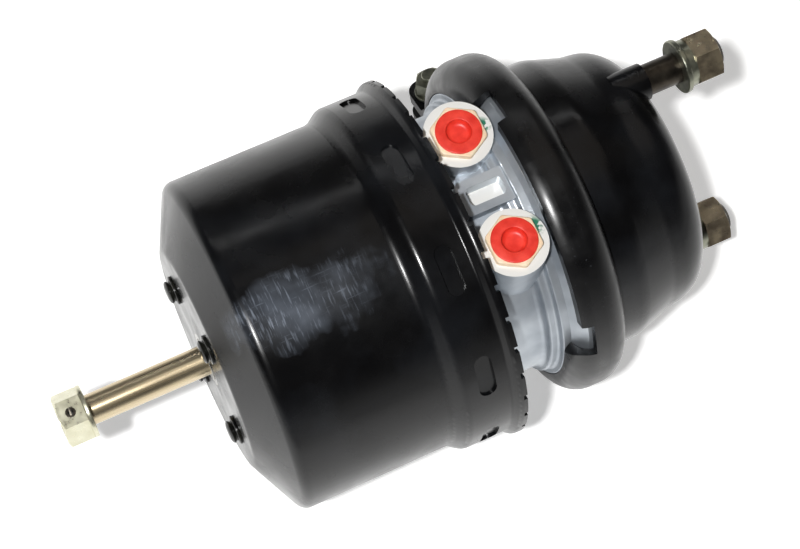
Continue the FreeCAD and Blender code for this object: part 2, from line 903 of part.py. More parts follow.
def make_pressure_plate():
    """A pressed dish behind the pushrod that carries the diaphragm."""
    lip_end = plate_front + plate_lip
    path = [(lip_end, plate_radius + plate_flare), (plate_rear, plate_radius, plate_lip), (plate_rear, 0)]
    return turned(parallel(path, -plate_wall)[::-1] + path)


def make_pushrod():
    """The pushrod, welded by its foot to the plate, with the ball that works in the brake's lever."""
    ball_centre = pushrod_tip - pushrod_ball_radius
    neck = ball_centre - math.sqrt(pushrod_ball_radius ** 2 - pushrod_radius ** 2)
    foot_front = plate_front + pushrod_foot_height
    shaft = turned([
        (plate_front, 0),
        (plate_front, pushrod_foot_radius, edge),
        (foot_front, pushrod_foot_radius, edge),
        (foot_front, pushrod_radius, foot_rounding),
        (neck + 1, pushrod_radius),
        (neck + 1, 0),
    ])
    ball = Part.makeSphere(pushrod_ball_radius, V(ball_centre, 0, 0))
    return shaft.fuse(ball)


def make_return_spring():
    """A conical spring whose coils nest when the pushrod is out."""
    return coil(return_wire, plate_front, return_small_radius, bowl_floor, return_large_radius,
                return_half_turns)


def gaiter_front():
    return -retainer_wall - touch


def make_gaiter():
    """The rubber bellows between the pushrod and the opening."""
    end_radius = opening_radius - retainer_wall - touch
    neck_radius = gaiter_rear_radius + gaiter_wall
    folds_rear = gaiter_rear + gaiter_collar
    folds_front = -retainer_depth
    path = [(gaiter_rear, neck_radius), (folds_rear, neck_radius)]
    for fold in range(gaiter_folds):
        for share, lift in ((0.3, gaiter_fold_depth), (0.8, 0)):
            along = (fold + share) / gaiter_folds
            base = neck_radius + (end_radius - gaiter_fold_depth - neck_radius) * along
            path.append((folds_rear + (folds_front - folds_rear) * along, base + lift, gaiter_wall))
    path.append((folds_front + gaiter_wall, end_radius, edge))
    path.append((gaiter_front(), end_radius))
    return turned(sheet(path, gaiter_wall))


def make_gaiter_retainer():
    """The pressed steel ring that holds the gaiter in the opening."""
    inner = opening_radius - retainer_wall
    lip = inner - retainer_turn_in
    return turned([(-retainer_depth, inner), (-retainer_depth, opening_radius), (0, opening_radius),
                   (0, lip, edge), (-retainer_wall, lip), (-retainer_wall, inner)])


# Parking piston, power spring and release bolt

def groove_place(setback, width):
    start = piston_face - setback - width
    return start, start + width


def make_parking_piston():
    """The cast piston with its skirt, two ring grooves and a hub for the release bolt."""
    skirt_rear = piston_face - piston_skirt_length
    seal_start, seal_end = groove_place(seal_setback, seal_width)
    band_start, band_end = groove_place(band_setback, band_width)
    hub_rear = piston_rear - piston_hub_height
    skirt_radius = piston_radius - piston_skirt_wall
    band_floor = piston_radius - band_depth
    seal_floor = piston_radius - seal_depth
    return turned([
        (hub_rear, rod_hole_radius),
        (hub_rear, piston_hub_radius, edge),
        (piston_rear, piston_hub_radius + piston_hub_flare, cast_rounding),
        (piston_rear, skirt_radius, cast_rounding),
        (skirt_rear, skirt_radius + edge),
        (skirt_rear, piston_radius, edge),
        (band_start, piston_radius),
        (band_start, band_floor),
        (band_end, band_floor),
        (band_end, piston_radius),
        (seal_start, piston_radius),
        (seal_start, seal_floor),
        (seal_end, seal_floor),
        (seal_end, piston_radius),
        (piston_face, piston_radius, edge),
        (piston_face, rod_hole_radius),
    ])


def make_piston_seal():
    start, end = groove_place(seal_setback, seal_width)
    return ring(piston_radius - seal_depth + fit, can_inner - touch, start + fit, end - fit, edge)


def make_piston_guide_band():
    start, end = groove_place(band_setback, band_width)
    return ring(piston_radius - band_depth + fit, can_inner - touch, start + fit, end - fit)


def make_piston_tube():
    """The tube that carries the piston's force through the flange body."""
    return ring(tube_bore, tube_radius, piston_face, tube_front)


def make_tube_nose():
    """The cap that closes the tube and bears on the diaphragm."""
    spigot_end = tube_front - nose_spigot
    return turned([(spigot_end, 0), (spigot_end, tube_bore, edge), (tube_front, tube_bore),
                   (tube_front, tube_radius), (nose_front, tube_radius, nose_rounding), (nose_front, 0)])


def make_power_spring():
    """The heavy conical spring, held short by the release bolt."""
    return coil(power_wire, can_rear + can_wall, power_small_radius, piston_rear, power_large_radius,
                power_half_turns)


def pin_hole(radius):
    middle = hex_end + hex_length / 2
    bore = Part.makeCylinder(radius, hex_flats + 2, V(middle, 0, -hex_flats / 2 - 1), UP)
    return around(bore, hex_turn)


def make_release_bolt():
    """The long screw with the thrust head that pulls the piston back."""
    screw_end = hex_end + edge
    head_front = bolt_head_rear + bolt_head_length
    screw = turned([(screw_end, 0), (screw_end, bolt_radius, edge), (bolt_head_rear, bolt_radius),
                    (bolt_head_rear, bolt_head_radius, edge), (head_front, bolt_head_radius, 2 * edge),
                    (head_front, 0)])
    return screw.cut(pin_hole(roll_pin_radius))


def make_release_nut():
    """The hexagon pinned to the end of the release bolt, its outer corners turned off."""
    nut = placed(hexagon(hex_flats, hex_length, hex_chamfer), V(hex_front, 0, 0), V(-1, 0, 0))
    nut = around(nut, hex_turn).cut(rod(bolt_radius, hex_end - 1, hex_front + 1))
    return nut.cut(pin_hole(roll_pin_radius))


def make_roll_pin():
    """The slotted spring pin through nut and bolt."""
    middle = hex_end + hex_length / 2
    half = hex_flats / 2 - roll_pin_setback
    tube = ring(roll_pin_bore, roll_pin_radius, -half, half, edge / 2)
    slit = box((-half - 1, half + 1), (0, roll_pin_radius + 1), (-roll_pin_slit / 2, roll_pin_slit / 2))
    return around(placed(tube.cut(slit), V(middle, 0, 0), UP), hex_turn)


def make_release_collar():
    return ring(bolt_radius, collar_radius, hex_front, collar_front, edge)


def make_thrust_washer():
    start = piston_face + touch
    return ring(bolt_radius + touch, bolt_head_radius, start, start + thrust_washer_thickness, edge / 2)


# All nodes

nodes = {
    "spring_housing": make_spring_housing(),
    "release_boss": make_release_boss(),
    "vent_plugs": make_vent_plugs(),
    "flange_body": make_flange_body(),
    "housing_seal": make_housing_seal(),
    "tube_bush": make_tube_bush(),
    "tube_seals": make_tube_seals(),
    "parking_port_plug": make_port_plug(port_sides[0]),
    "service_port_plug": make_port_plug(port_sides[1]),
    "clamp_ring": make_clamp_ring(),
    "clamp_bolt": make_clamp_bolt(),
    "clamp_nut": make_clamp_nut(),
    "clamp_washer": make_clamp_washer(),
    "service_housing": make_service_housing(),
    "mounting_studs": make_mounting_studs(),
    "stud_washers": make_stud_washers(),
    "stud_lock_washers": make_stud_lock_washers(),
    "stud_nuts": make_stud_nuts(),
    "diaphragm": make_diaphragm(),
    "gaiter": make_gaiter(),
    "gaiter_retainer": make_gaiter_retainer(),
    "return_spring": make_return_spring(),
    "pressure_plate": make_pressure_plate(),
    "pushrod": make_pushrod(),
    "power_spring": make_power_spring(),
    "parking_piston": make_parking_piston(),
    "piston_seal": make_piston_seal(),
    "piston_guide_band": make_piston_guide_band(),
    "piston_tube": make_piston_tube(),
    "tube_nose": make_tube_nose(),
    "release_bolt": make_release_bolt(),
    "release_nut": make_release_nut(),
    "release_roll_pin": make_roll_pin(),
    "release_collar": make_release_collar(),
    "thrust_washer": make_thrust_washer(),
}

os.makedirs("parts", exist_ok=True)
for name, shape in nodes.items():
    shape.exportStep("parts/" + name + ".step")
    solids = len(shape.Solids)
    print(name, "solids", solids, "volume", round(shape.Volume), "valid", shape.isValid())
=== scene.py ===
import math

import bmesh
import bpy
from mathutils import Matrix, Vector


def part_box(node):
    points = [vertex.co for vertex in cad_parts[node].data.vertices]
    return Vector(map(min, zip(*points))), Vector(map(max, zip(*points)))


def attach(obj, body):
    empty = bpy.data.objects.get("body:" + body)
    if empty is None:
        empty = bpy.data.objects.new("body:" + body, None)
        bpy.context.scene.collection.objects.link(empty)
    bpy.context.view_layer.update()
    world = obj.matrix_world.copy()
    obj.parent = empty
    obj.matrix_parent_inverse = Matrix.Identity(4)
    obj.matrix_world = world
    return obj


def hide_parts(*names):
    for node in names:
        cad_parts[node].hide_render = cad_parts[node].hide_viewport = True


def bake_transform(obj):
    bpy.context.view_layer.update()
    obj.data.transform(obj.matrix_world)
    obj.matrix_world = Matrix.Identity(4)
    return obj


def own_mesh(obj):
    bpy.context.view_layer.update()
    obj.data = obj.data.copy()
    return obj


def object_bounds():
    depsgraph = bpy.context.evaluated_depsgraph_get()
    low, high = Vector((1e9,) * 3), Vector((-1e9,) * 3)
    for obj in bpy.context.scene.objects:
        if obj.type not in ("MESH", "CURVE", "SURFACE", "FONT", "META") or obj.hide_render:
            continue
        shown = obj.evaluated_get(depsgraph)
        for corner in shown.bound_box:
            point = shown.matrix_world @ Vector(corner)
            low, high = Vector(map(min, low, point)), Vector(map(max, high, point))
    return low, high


# Spring brake chamber lying on a pale floor. The axis is X, the ports look up and the studs point to +X.
# Lengths are in millimetres where they are named, and turned to metres with mm.

mm = 0.001
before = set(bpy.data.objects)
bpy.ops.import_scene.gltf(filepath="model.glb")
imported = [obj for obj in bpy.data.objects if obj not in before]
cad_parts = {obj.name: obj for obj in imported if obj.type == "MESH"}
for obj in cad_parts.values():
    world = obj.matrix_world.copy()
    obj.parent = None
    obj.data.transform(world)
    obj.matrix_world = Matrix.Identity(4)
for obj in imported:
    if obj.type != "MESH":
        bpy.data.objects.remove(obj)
cad_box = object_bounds()

# Transit plugs: a hexagon under a round face with a dimple
plug_flats = 24.5
plug_height = 3.9
plug_hexagon = 3.2
plug_corner_rounding = 1.2
plug_edge_rounding = 0.7
plug_face_radius = 11.4
plug_face_depth = 1.4
plug_face_rounding = 0.5
dimple_radius = 6.2
dimple_depth = 3.3
dimple_rounding = 2.6
dimple_lip_rounding = 0.4

# Vents in the can's end
vent_circle = 38.0
vent_turn = -10.0
vent_count = 4

# Gaiter
gaiter_wall = 1.5
gaiter_neck = 8.3
gaiter_neck_length = 6.0
gaiter_folds = 5
gaiter_fold_depth = 5.0
gaiter_mouth_length = 5.0
gaiter_mouth_flare = 1.5
gaiter_mouth_inset = 1.0

# Diaphragm
diaphragm_wall = 3.0
diaphragm_bead_rear = -74.7
diaphragm_bead_radius = 83.5

# Coil springs
return_wire = 4.5
return_half_turns = 10
return_small_radius = 22.0
return_large_radius = 42.0
power_wire = 11.0
power_half_turns = 7
power_small_radius = 49.0
power_large_radius = 72.0

# Facets
spin_steps = 96
coil_steps = 28
wire_facets = 20


def x_range(node):
    """Where a node begins and ends along the axis, in millimetres."""
    low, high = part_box(node)
    return low.x / mm, high.x / mm


def middle(node):
    low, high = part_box(node)
    return (low + high) / 2


# Modelling

def alone():
    """Nothing stays selected, so that the next step acts on its own piece."""
    bpy.ops.object.select_all(action="DESELECT")


def taken(piece):
    """Only this piece is selected and active."""
    alone()
    piece.select_set(True)
    bpy.context.view_layer.objects.active = piece


def settled(piece):
    """The piece's place and turn go into its mesh."""
    taken(piece)
    bpy.ops.object.transform_apply(location=True, rotation=True, scale=True)


def edit(piece):
    bpy.context.view_layer.objects.active = piece
    bpy.ops.object.mode_set(mode="EDIT")


def pick_faces(piece, wanted):
    """Selects the faces whose middle and normal pass the test, in face mode."""
    bpy.ops.mesh.select_mode(type="FACE")
    bpy.ops.mesh.select_all(action="DESELECT")
    mesh = bmesh.from_edit_mesh(piece.data)
    for face in mesh.faces:
        if wanted(face.calc_center_median(), face.normal):
            face.select_set(True)
    bmesh.update_edit_mesh(piece.data)


def pick_edges(piece, wanted):
    """Selects the edges whose two ends pass the test, in edge mode."""
    bpy.ops.mesh.select_mode(type="EDGE")
    bpy.ops.mesh.select_all(action="DESELECT")
    mesh = bmesh.from_edit_mesh(piece.data)
    for line in mesh.edges:
        if wanted(line.verts[0].co, line.verts[1].co):
            line.select_set(True)
    bmesh.update_edit_mesh(piece.data)


def close_up(piece):
    """Merges what lies together, turns the faces outward and leaves edit mode."""
    bpy.ops.mesh.select_all(action="SELECT")
    bpy.ops.mesh.remove_doubles(threshold=0.005 * mm)
    bpy.ops.mesh.normals_make_consistent(inside=False)
    bpy.ops.object.mode_set(mode="OBJECT")
    settled(piece)
    bpy.ops.object.shade_smooth_by_angle(angle=math.radians(35))


def copied(piece):
    """A copy of a finished piece, with its own mesh."""
    taken(piece)
    bpy.ops.object.duplicate()
    return bpy.context.object


def moved(piece, by):
    piece.location = by
    settled(piece)


def turned(name, corners):
    """A piece drawn point by point as corners (x, radius) and spun round the axis."""
    alone()
    bpy.ops.mesh.primitive_plane_add(size=mm)
    piece = bpy.context.object
    piece.name = name
    edit(piece)
    bpy.ops.mesh.select_mode(type="VERT")
    bpy.ops.mesh.select_all(action="SELECT")
    bpy.ops.mesh.merge(type="CENTER")
    here = Vector((0, 0, 0))
    for index, (x, radius) in enumerate(corners):
        there = Vector((x, 0, radius)) * mm
        if index == 0:
            bpy.ops.transform.translate(value=there - here)
        else:
            bpy.ops.mesh.extrude_region_move(TRANSFORM_OT_translate={"value": there - here})
        here = there
    bpy.ops.mesh.select_all(action="SELECT")
    bpy.ops.mesh.spin(steps=spin_steps, angle=math.tau, center=(0, 0, 0), axis=(1, 0, 0))
    close_up(piece)
    return piece


def wound(name, node, wire, start_radius, end_radius, half_turns):
    """A conical spring as long as its node, wound from half rings, each spun on from the end of the last."""
    start, end = x_range(node)
    alone()
    bpy.ops.mesh.primitive_circle_add(vertices=wire_facets, radius=wire / 2 * mm, fill_type="NGON",
                                      location=Vector((start + wire / 2, 0, start_radius)) * mm,
                                      rotation=(math.pi / 2, 0, 0))
    piece = bpy.context.object
    piece.name = name
    bpy.ops.object.transform_apply(location=True, rotation=True, scale=True)
    edit(piece)
    bpy.ops.mesh.select_all(action="SELECT")
    climb = (end - start - wire) / half_turns
    growth = (end_radius - start_radius) / half_turns
    for step in range(half_turns):
        side = 1 - 2 * (step % 2)
        begin = Vector((start + wire / 2 + climb * step, 0, side * (start_radius + growth * step)))
        finish = Vector((begin.x + climb, 0, -side * (start_radius + growth * (step + 1))))
        across = (finish - begin).cross(Vector((0, side, 0)))
        bpy.ops.mesh.spin(steps=coil_steps, angle=math.pi, center=(begin + finish) / 2 * mm,
                          axis=across.normalized())
    close_up(piece)
    return piece


def gaiter_corners():
    """The bellows in section: the outside from the rod to the mouth, and back inside it."""
    rear, front = x_range("gaiter")
    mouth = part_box("gaiter")[1].z / mm - gaiter_mouth_inset
    neck = gaiter_neck + gaiter_wall
    folds_rear = rear + gaiter_neck_length
    folds_front = front - gaiter_mouth_length
    outside = [(rear, neck), (folds_rear, neck)]
    for fold in range(gaiter_folds):
        for share, lift in ((0.22, 0.8), (0.32, 1.0), (0.42, 0.8), (0.74, 0.1), (0.82, 0.0), (0.9, 0.1)):
            along = (fold + share) / gaiter_folds
            base = neck + (mouth - gaiter_fold_depth - neck) * along
            outside.append((folds_rear + (folds_front - folds_rear) * along, base + gaiter_fold_depth * lift))
    outside += [(folds_front + gaiter_mouth_flare, mouth), (front, mouth)]
    inside = [(x, radius - gaiter_wall) for x, radius in reversed(outside)]
    return outside + inside + outside[:1]


def diaphragm_corners():
    """The moulded rubber in section, from its middle out to the clamped bead and back."""
    rear, front = x_range("diaphragm")
    rear_side = [(rear, 0), (rear, 50), (rear + 0.5, 53), (rear + 2, 55.5), (diaphragm_bead_rear, 70.0)]
    bead = [(diaphragm_bead_rear, diaphragm_bead_radius), (front, diaphragm_bead_radius), (front, 72.5)]
    front_side = [(front - 1.2, 71.2), (rear + 4.5, 54.2), (rear + 3.4, 52.4), (rear + diaphragm_wall, 50),
                  (rear + diaphragm_wall, 0)]
    return rear_side + bead + front_side


def round_tool(at, radius, depth, rounding, slots):
    """A closed disc that ends in a soft edge, used to add to a plug or to cut from it."""
    alone()
    bpy.ops.mesh.primitive_cylinder_add(vertices=64, radius=radius * mm, depth=depth * mm, location=at)
    tool = bpy.context.object
    bpy.ops.object.transform_apply(location=True, rotation=True, scale=True)
    for held in slots:
        tool.data.materials.append(held)
    edit(tool)
    pick_faces(tool, lambda spot, normal: abs(normal.z) > 0.9)
    bpy.ops.mesh.bevel(offset=rounding * mm, segments=4, affect="EDGES")
    bpy.ops.mesh.select_all(action="SELECT")
    tool.active_material_index = 1
    bpy.ops.object.material_slot_assign()
    bpy.ops.object.mode_set(mode="OBJECT")
    return tool


def worked(piece, tool, operation):
    """The tool is added to the piece or cut from it."""
    change = piece.modifiers.new("change", "BOOLEAN")
    change.operation = operation
    change.object = tool
    taken(piece)
    bpy.ops.object.modifier_apply(modifier="change")
    bpy.data.objects.remove(tool)


def plug_piece(node, name):
    """A moulded transit plug: a red hexagon painted pale as a highlight, under a round red face with a round
    dimple.
    """
    centre = middle(node)
    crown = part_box(node)[1].z / mm
    seat = crown - plug_height
    slots = [materials["red polyethylene hexagon painted pale as a highlight"], materials["red face of moulded polyethylene"]]

    alone()
    # The hexagon takes the first slot, whose cream is a painted highlight of the flash on red plastic.
    bpy.ops.mesh.primitive_cylinder_add(vertices=6, radius=plug_flats / math.sqrt(3) * mm, depth=plug_hexagon * mm,
                                        location=(centre.x, centre.y, (seat + plug_hexagon / 2) * mm))
    piece = bpy.context.object
    piece.name = name
    bpy.ops.object.transform_apply(location=True, rotation=True, scale=True)
    for held in slots:
        piece.data.materials.append(held)
    edit(piece)
    pick_edges(piece, lambda a, b: abs(a.z - b.z) > 1 * mm)
    bpy.ops.mesh.bevel(offset=plug_corner_rounding * mm, segments=4, affect="EDGES")
    hexagon_top = (seat + plug_hexagon) * mm
    pick_edges(piece, lambda a, b: min(a.z, b.z) > hexagon_top - 0.1 * mm)
    bpy.ops.mesh.bevel(offset=plug_edge_rounding * mm, segments=3, affect="EDGES")
    close_up(piece)

    face_middle = Vector((centre.x, centre.y, (crown - plug_face_depth / 2) * mm))
    worked(piece, round_tool(face_middle, plug_face_radius, plug_face_depth, plug_face_rounding, slots), "UNION")
    top = Vector((centre.x, centre.y, crown * mm))
    worked(piece, round_tool(top, dimple_radius, 2 * dimple_depth, dimple_rounding, slots), "DIFFERENCE")

    edit(piece)
    pick_edges(piece, lambda a, b: min(a.z, b.z) > top.z - 0.01 * mm
               and max((a - top).length, (b - top).length) < (dimple_radius + 0.1) * mm)
    bpy.ops.mesh.bevel(offset=dimple_lip_rounding * mm, segments=3, affect="EDGES")
    close_up(piece)
    return piece


def vent_piece():
    """A rubber breather on the axis: a flanged foot, a waist and a domed head with a nib."""
    face = x_range("spring_housing")[0]
    corners = [(0.3, 0), (0.3, 3.8), (0.0, 3.8), (-0.1, 7.3), (-0.5, 7.5), (-1.3, 7.4), (-1.7, 6.8), (-1.9, 5.6),
               (-2.3, 5.2), (-2.8, 5.6), (-3.6, 5.9), (-4.3, 5.2), (-4.8, 3.6), (-4.9, 2.0), (-4.95, 0)]
    piece = turned("vent_breather", [(face + x, radius) for x, radius in corners])
    piece.data.materials.append(materials["moulded black rubber"])
    return piece


# Materials

def linear(colour):
    """A colour written as sRGB hex, turned to linear."""
    parts = [int(colour[place:place + 2], 16) / 255 for place in (1, 3, 5)]
    return tuple(part / 12.92 if part <= 0.04045 else ((part + 0.055) / 1.055) ** 2.4 for part in parts) + (1.0,)


def per(size):
    """The scale of a pattern whose features are that many millimetres wide."""
    return 1000.0 / size


def feed(tree, node, takes):
    """Gives each named or numbered input a value, or links it to the output that feeds it."""
    for socket, value in takes.items():
        if isinstance(value, bpy.types.NodeSocket):
            tree.links.new(value, node.inputs[socket])
        else:
            node.inputs[socket].default_value = value


def add(tree, kind, gives, takes, **settings):
    """Adds a node with its settings and links, and returns one of its outputs.

    A Mix of colours takes its share at input 0 and its two colours at 6 and 7, and gives the mix at output 2.
    """
    node = tree.nodes.new("ShaderNode" + kind)
    for name, value in settings.items():
        setattr(node, name, value)
    feed(tree, node, takes)
    return node.outputs[gives]


def begun(name):
    """A new material, its shader, and the place on the part that its patterns read."""
    made = bpy.data.materials.new(name)
    made.use_nodes = True
    tree = made.node_tree
    return made, tree, tree.nodes["Principled BSDF"], add(tree, "TexCoord", "Object", {})


def stoved_enamel():
    """Black stoved enamel on drawn steel: glossy, a little orange peel, rubbed and scuffed in handling, with a
    painted sheen of the flash in the scuffed oval on the can's top.
    """
    made, tree, shader, place = begun("black stoved enamel on drawn steel")
    peel = add(tree, "TexNoise", "Fac", {"Vector": place, "Scale": per(4.0), "Detail": 2.0})

    # The scuffed area on the can's top is a long ragged oval where the flash is mirrored, and its pale colour is
    # partly painted sheen. Its middle is given in the shrunk place.
    scuff_and_sheen_middle = Vector((-77.0, -19.0, 85.0)) * mm
    shrunk = add(tree, "Mapping", "Vector", {"Vector": place, "Scale": (0.36, 1.0, 1.0)})
    away = add(tree, "VectorMath", "Value", {0: shrunk, 1: scuff_and_sheen_middle}, operation="DISTANCE")
    wander = add(tree, "TexNoise", "Fac", {"Vector": place, "Scale": per(16.0), "Detail": 2.5})
    ragged = add(tree, "MapRange", "Result", {"Value": wander, "From Min": 0.3, "From Max": 0.7,
                                              "To Min": -6 * mm, "To Max": 6 * mm})
    edge = add(tree, "Math", 0, {0: away, 1: ragged}, operation="ADD")
    scuff_and_sheen_area = add(tree, "MapRange", "Result", {"Value": edge, "From Min": 19 * mm, "From Max": -9 * mm})

    # Inside it is a pale bluish cloud, partly scuffing and partly a painted sheen of the flash, with scratches
    # along and round the can.
    # Real scratches are some tenths of a millimetre wide, and these are drawn coarser so that they show.
    cloud = add(tree, "TexNoise", "Fac", {"Vector": place, "Scale": per(20.0), "Detail": 4.0})
    cloud = add(tree, "MapRange", "Result", {"Value": cloud, "From Min": 0.34, "From Max": 0.68,
                                             "To Min": 0.15, "To Max": 0.6})
    along = add(tree, "Mapping", "Vector", {"Vector": place, "Scale": (0.15, 1.6, 1.6)})
    along = add(tree, "TexNoise", "Fac", {"Vector": along, "Scale": per(1.8), "Detail": 3.0})
    along = add(tree, "MapRange", "Result", {"Value": along, "From Min": 0.58, "From Max": 0.74, "To Max": 0.8})
    across = add(tree, "Mapping", "Vector", {"Vector": place, "Scale": (1.6, 0.2, 0.2)})
    across = add(tree, "TexNoise", "Fac", {"Vector": across, "Scale": per(1.7), "Detail": 3.0})
    across = add(tree, "MapRange", "Result", {"Value": across, "From Min": 0.48, "From Max": 0.70})
    lines = add(tree, "Math", 0, {0: along, 1: across}, operation="MAXIMUM")
    scuff_and_painted_sheen = add(tree, "Math", 0, {0: cloud, 1: lines}, operation="MAXIMUM")
    scuff_and_painted_sheen = add(tree, "Math", 0, {0: scuff_and_sheen_area, 1: scuff_and_painted_sheen}, operation="MULTIPLY")

    # Elsewhere the black is only a little dulled by handling
    dull = add(tree, "TexNoise", "Fac", {"Vector": place, "Scale": per(34.0), "Detail": 4.0})
    dull = add(tree, "MapRange", "Result", {"Value": dull, "From Min": 0.45, "From Max": 0.75, "To Max": 0.02})
    wear_and_painted_sheen = add(tree, "Math", 0, {0: dull, 1: scuff_and_painted_sheen}, operation="MAXIMUM")
    # Painted sheen: the pale blue-grey mixed in over the scuffed oval stands in for the flash mirrored there, on
    # top of real scuffing.
    tone = add(tree, "Mix", 2, {0: wear_and_painted_sheen, 6: linear("#0a0a0b"), 7: linear("#939caa")}, data_type="RGBA")
    rough = add(tree, "TexNoise", "Fac", {"Vector": place, "Scale": per(22.0), "Detail": 4.0})
    rough = add(tree, "MapRange", "Result", {"Value": rough, "From Min": 0.3, "From Max": 0.75,
                                             "To Min": 0.17, "To Max": 0.34})
    relief = add(tree, "Bump", "Normal", {"Height": peel, "Distance": 0.02 * mm})
    feed(tree, shader, {"IOR": 1.4, "Base Color": tone, "Roughness": rough, "Normal": relief})
    return made


def dipped_enamel():
    """Black dip paint on the rolled clamp ring: thicker, softer in its gloss, with faint runs and specks."""
    made, tree, shader, place = begun("black dip paint on rolled steel")
    runs = add(tree, "TexNoise", "Fac", {"Vector": place, "Scale": per(9.0), "Detail": 2.0})
    dust = add(tree, "TexNoise", "Fac", {"Vector": place, "Scale": per(1.6), "Detail": 2.0})
    dust = add(tree, "MapRange", "Result", {"Value": dust, "From Min": 0.70, "From Max": 0.76})
    tone = add(tree, "Mix", 2, {0: dust, 6: linear("#0d0d0e"), 7: linear("#3a3c40")}, data_type="RGBA")
    rough = add(tree, "MapRange", "Result", {"Value": runs, "From Min": 0.3, "From Max": 0.7,
                                             "To Min": 0.25, "To Max": 0.38})
    relief = add(tree, "Bump", "Normal", {"Height": runs, "Distance": 0.05 * mm})
    feed(tree, shader, {"IOR": 1.45, "Base Color": tone, "Roughness": rough, "Normal": relief})
    return made


def die_cast_aluminium():
    """Die cast aluminium, tumbled: satin and grey, its port faces machined bright, a painted reflection on the
    floor of the pocket between the ports, a smear of thread sealant.
    """
    made, tree, shader, place = begun("die cast aluminium")
    up = add(tree, "SeparateXYZ", "Z", {"Vector": place})
    sideways = add(tree, "SeparateXYZ", "Y", {"Vector": place})
    clouds = add(tree, "TexNoise", "Fac", {"Vector": place, "Scale": per(26.0), "Detail": 3.0})
    clouds = add(tree, "MapRange", "Result", {"Value": clouds, "From Min": 0.35, "From Max": 0.65})
    skin = add(tree, "Mix", 2, {0: clouds, 6: linear("#a3aab2"), 7: linear("#c9cfd5")}, data_type="RGBA")

    # Bright metal on the machined port faces, and a painted reflection on the floor of the pocket in the web
    # between the ports
    port_face, pocket_floor, pocket_side = 79.8, 66.5, 9.5
    faces = add(tree, "MapRange", "Result", {"Value": up, "From Min": (port_face - 0.1) * mm,
                                             "From Max": (port_face + 0.1) * mm})
    off_middle = add(tree, "Math", 0, {0: sideways}, operation="ABSOLUTE")
    within = add(tree, "MapRange", "Result", {"Value": off_middle, "From Min": (pocket_side + 0.1) * mm,
                                              "From Max": (pocket_side - 0.1) * mm})
    below = add(tree, "MapRange", "Result", {"Value": up, "From Min": (pocket_floor + 0.6) * mm,
                                             "From Max": (pocket_floor + 0.2) * mm})
    above = add(tree, "MapRange", "Result", {"Value": up, "From Min": (pocket_floor - 0.5) * mm,
                                             "From Max": (pocket_floor - 0.2) * mm})
    pocket = add(tree, "Math", 0, {0: below, 1: above}, operation="MULTIPLY")
    pocket = add(tree, "Math", 0, {0: within, 1: pocket}, operation="MULTIPLY")
    # The pocket floor's near-white is painted reflection; only the port faces are machined metal.
    machined_and_painted_sheen = add(tree, "Math", 0, {0: faces, 1: pocket}, operation="MAXIMUM")
    bright = add(tree, "Mix", 2, {0: machined_and_painted_sheen, 6: skin, 7: linear("#f0f0ed")}, data_type="RGBA")
    metallic = add(tree, "MapRange", "Result", {"Value": machined_and_painted_sheen, "To Min": 0.8, "To Max": 0.25})
    rough = add(tree, "MapRange", "Result", {"Value": machined_and_painted_sheen, "To Min": 0.46, "To Max": 0.3})

    # Green sealant, squeezed out beside each plug and torn where it dried
    torn = add(tree, "TexNoise", "Fac", {"Vector": place, "Scale": per(3.0), "Detail": 3.0})
    torn = add(tree, "MapRange", "Result", {"Value": torn, "From Min": 0.46, "From Max": 0.54})
    smears = []
    for x, y, size in ((-90.5, 29.5, 5.0), (-90.5, -26.5, 6.0)):
        away = add(tree, "VectorMath", "Value", {0: place, 1: Vector((x, y, 79.0)) * mm}, operation="DISTANCE")
        spot = add(tree, "MapRange", "Result", {"Value": away, "From Min": size * mm, "From Max": size * 0.5 * mm})
        smears.append(add(tree, "Math", 0, {0: spot, 1: torn}, operation="MULTIPLY"))
    smear = add(tree, "Math", 0, {0: smears[0], 1: smears[1]}, operation="MAXIMUM")
    tone = add(tree, "Mix", 2, {0: smear, 6: bright, 7: linear("#2f7f63")}, data_type="RGBA")

    grain = add(tree, "TexNoise", "Fac", {"Vector": place, "Scale": per(1.4), "Detail": 4.0})
    relief = add(tree, "Bump", "Normal", {"Height": grain, "Distance": 0.04 * mm})
    feed(tree, shader, {"Base Color": tone, "Metallic": metallic, "Roughness": rough, "Normal": relief})
    return made


def polyethylene(name, tone, pale):
    """Injection moulded polyethylene: waxy, with light spreading under the skin."""
    made, tree, shader, place = begun(name)
    wax = add(tree, "TexNoise", "Fac", {"Vector": place, "Scale": per(5.0), "Detail": 3.0})
    wax = add(tree, "MapRange", "Result", {"Value": wax, "From Min": 0.35, "From Max": 0.7})
    colour = add(tree, "Mix", 2, {0: wax, 6: linear(tone), 7: linear(pale)}, data_type="RGBA")
    grain = add(tree, "TexNoise", "Fac", {"Vector": place, "Scale": per(1.2), "Detail": 2.0})
    relief = add(tree, "Bump", "Normal", {"Height": grain, "Distance": 0.02 * mm})
    feed(tree, shader, {"Base Color": colour, "Roughness": 0.42, "Subsurface Weight": 0.08,
                        "Subsurface Scale": 0.8 * mm, "Subsurface Radius": (1.0, 0.35, 0.2), "Normal": relief})
    return made


